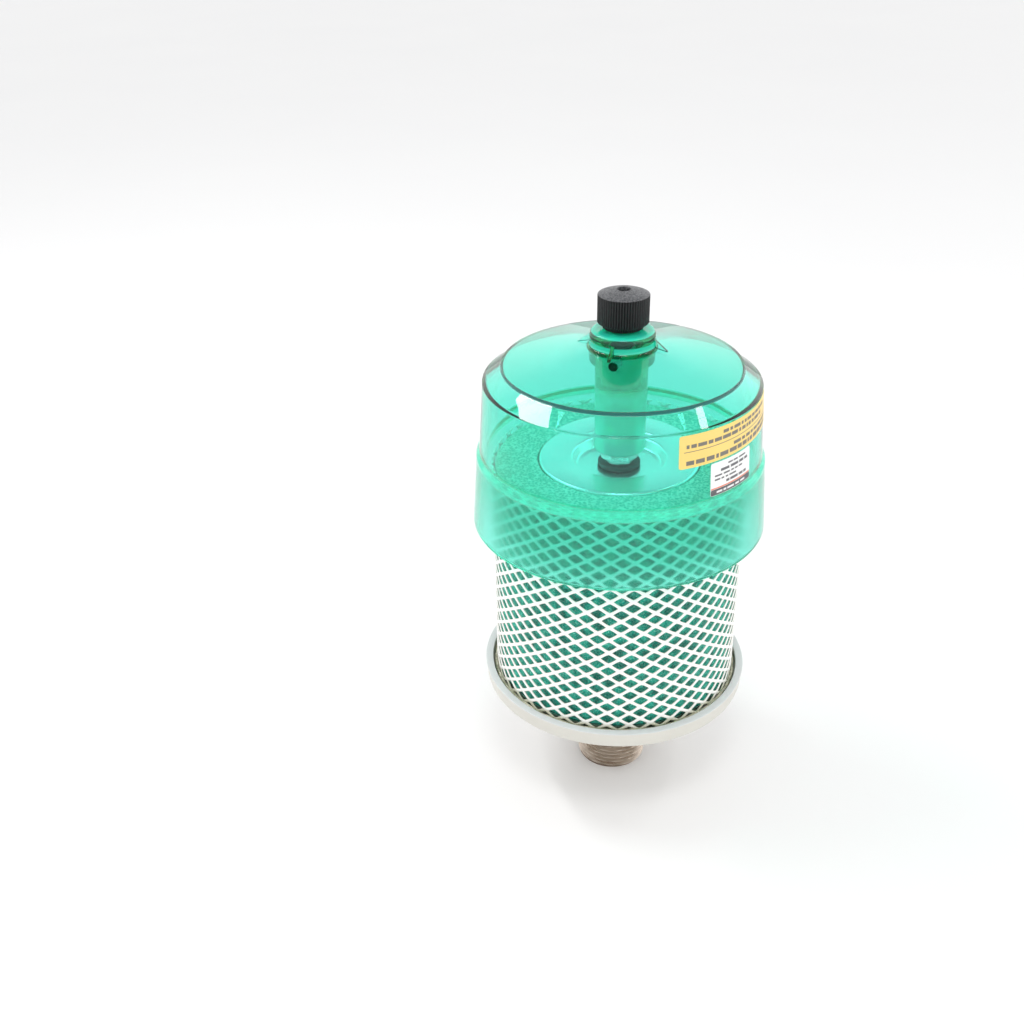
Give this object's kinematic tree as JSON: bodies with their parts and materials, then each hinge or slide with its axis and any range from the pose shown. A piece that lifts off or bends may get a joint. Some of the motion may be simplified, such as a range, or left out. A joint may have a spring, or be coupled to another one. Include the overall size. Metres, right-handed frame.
{
  "type": "exhaust cleaner muffler",
  "caption": "Pneumatic exhaust cleaner and silencer: threaded port, dish base, net-wrapped coalescing element, clear green drain bowl and knurled drain cock.",
  "frame": {"origin": "centre of the port's end face, on the surface the cleaner stands on", "axes": "+Z along the port, body and drain knob, from the port towards the knob; -Y is the front"},
  "size_m": [0.13, 0.13, 0.242],
  "materials": {
    "painted_grey": "satin warm grey paint over an aluminium casting",
    "plated_steel": "turned steel with a brown passivated plating",
    "bright_steel": "bright zinc plating",
    "brass": "turned",
    "clear_green": "transparent green moulding, glossy outside, slightly frosted on the skirt",
    "black_plastic": "moulded, satin",
    "black_rubber": "moulded",
    "natural_rubber": "moulded, uncoloured",
    "white_net": "white extruded diamond net",
    "green_media": "open glistening foam",
    "end_pad": "granular resin-bonded end of the foam",
    "felt": "fine non-woven layer",
    "fibre": "pressed fibre gasket",
    "amber_resin": "cured adhesive",
    "label_yellow": null,
    "label_white": null
  },
  "bodies": {
    "port_and_element": {"base_plate": "painted_grey", "inlet_nipple": "plated_steel", "nipple_seal_ring": "fibre", "nipple_lock_nut": "bright_steel", "rod_spider": "bright_steel", "tie_rod": "bright_steel", "rod_foot_nut": "bright_steel", "element_base_gasket": "black_rubber", "element_base_cap": "bright_steel", "core_tube": "bright_steel", "coalescing_layer": "felt", "foam_media": "green_media", "top_end_pad": "end_pad", "mesh_sleeve": "white_net", "resin_bead": "amber_resin", "element_top_cap": "bright_steel", "cap_seal_washer": "black_rubber", "cap_nut": "bright_steel"},
    "case_lift": {"column_guide_washer": "black_plastic"},
    "case_thread": {"column_o_ring": "black_rubber"},
    "case": {"column_insert": "brass", "drain_case": "clear_green", "caution_label": "label_yellow", "rating_label": "label_white", "valve_bush": "black_plastic", "valve_seat": "natural_rubber"},
    "cock_plunger": {"drain_plunger": "clear_green", "plunger_o_ring": "natural_rubber", "plunger_tip_seal": "natural_rubber"},
    "cock_knob": {"drain_knob": "black_plastic"}
  },
  "joints": [
    {"name": "case_lift_off", "type": "slide", "parent": "port_and_element", "child": "case_lift", "axis": [0, 0, 1], "range_m": [0, 0.1]},
    {"name": "case_thread_travel", "type": "slide", "parent": "case_lift", "child": "case_thread", "axis": [0, 0, 1], "range_m": [0, 0.00826]},
    {"name": "case_unscrew", "type": "hinge", "parent": "case_thread", "child": "case", "pos_m": [0, 0, 0.1708], "axis": [0, 0, 1], "range_deg": [0, 1980]},
    {"name": "drain_valve_travel", "type": "slide", "parent": "case", "child": "cock_plunger", "axis": [0, 0, 1], "range_m": [0, 0.00151]},
    {"name": "drain_knob_turn", "type": "hinge", "parent": "cock_plunger", "child": "cock_knob", "pos_m": [0, 0, 0.2257], "axis": [0, 0, 1], "range_deg": [0, 540]}
  ],
  "couplings": [
    {"joint": "case_thread_travel", "follows": "case_unscrew", "m_per_rad": 0.00023873},
    {"joint": "drain_valve_travel", "follows": "drain_knob_turn", "m_per_rad": 0.00015915}
  ]
}
